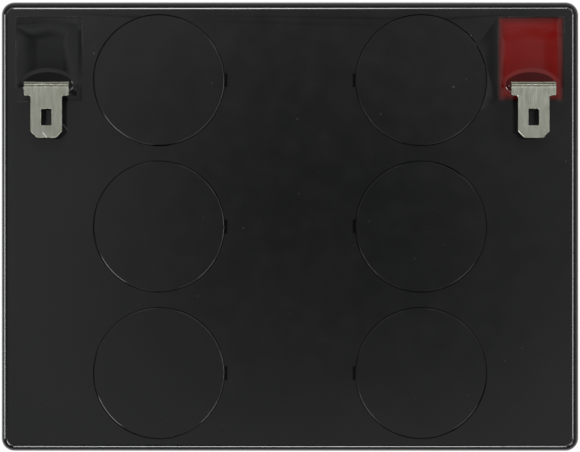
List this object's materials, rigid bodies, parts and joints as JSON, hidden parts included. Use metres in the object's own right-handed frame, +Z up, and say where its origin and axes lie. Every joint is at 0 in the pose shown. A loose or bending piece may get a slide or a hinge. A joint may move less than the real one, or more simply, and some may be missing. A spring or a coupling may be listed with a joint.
{
  "type": "sealed lead acid battery",
  "caption": "Box-shaped sealed lead acid battery: black moulded case, flush round vent covers, two resin-filled terminal wells and quick-connect blade terminals.",
  "frame": {"origin": "middle of the base's underside", "axes": "+Z up, +X along the case towards the positive terminal, +Y across it towards the side with both terminals"},
  "size_m": [0.09, 0.07, 0.106],
  "materials": {
    "case_black": "moulded black ABS, smooth satin gloss",
    "resin_black": "poured black epoxy, glossy",
    "resin_red": "poured red epoxy, glossy",
    "tinned_brass": "tinned brass strip, dull, with punched edges",
    "cast_lead": "cast lead, dull grey",
    "valve_rubber": "moulded rubber, matte",
    "plate_positive": "lead dioxide paste in a lead grid, dark brown",
    "plate_negative": "spongy lead paste in a lead grid, grey",
    "glass_mat": "absorbent glass mat, white"
  },
  "bodies": {
    "root": {"container": "case_black", "lid": "case_black", "vent_cover_1": "case_black", "vent_cover_2": "case_black", "vent_cover_3": "case_black", "vent_cover_4": "case_black", "vent_cover_5": "case_black", "vent_cover_6": "case_black", "vent_valve_1": "valve_rubber", "vent_valve_2": "valve_rubber", "vent_valve_3": "valve_rubber", "vent_valve_4": "valve_rubber", "vent_valve_5": "valve_rubber", "vent_valve_6": "valve_rubber", "terminal_tab_negative": "tinned_brass", "terminal_tab_positive": "tinned_brass", "terminal_post_negative": "cast_lead", "terminal_post_positive": "cast_lead", "terminal_seal_negative": "resin_black", "terminal_seal_positive": "resin_red", "cell_1_positive_plates": "plate_positive", "cell_1_negative_plates": "plate_negative", "cell_1_separator_1": "glass_mat", "cell_1_separator_2": "glass_mat", "cell_1_separator_3": "glass_mat", "cell_2_positive_plates": "plate_positive", "cell_2_negative_plates": "plate_negative", "cell_2_separator_1": "glass_mat", "cell_2_separator_2": "glass_mat", "cell_2_separator_3": "glass_mat", "cell_3_positive_plates": "plate_positive", "cell_3_negative_plates": "plate_negative", "cell_3_separator_1": "glass_mat", "cell_3_separator_2": "glass_mat", "cell_3_separator_3": "glass_mat", "cell_4_positive_plates": "plate_positive", "cell_4_negative_plates": "plate_negative", "cell_4_separator_1": "glass_mat", "cell_4_separator_2": "glass_mat", "cell_4_separator_3": "glass_mat", "cell_5_positive_plates": "plate_positive", "cell_5_negative_plates": "plate_negative", "cell_5_separator_1": "glass_mat", "cell_5_separator_2": "glass_mat", "cell_5_separator_3": "glass_mat", "cell_6_positive_plates": "plate_positive", "cell_6_negative_plates": "plate_negative", "cell_6_separator_1": "glass_mat", "cell_6_separator_2": "glass_mat", "cell_6_separator_3": "glass_mat", "cell_link_1": "cast_lead", "cell_link_2": "cast_lead", "cell_link_3": "cast_lead", "cell_link_4": "cast_lead", "cell_link_5": "cast_lead"}
  },
  "joints": []
}
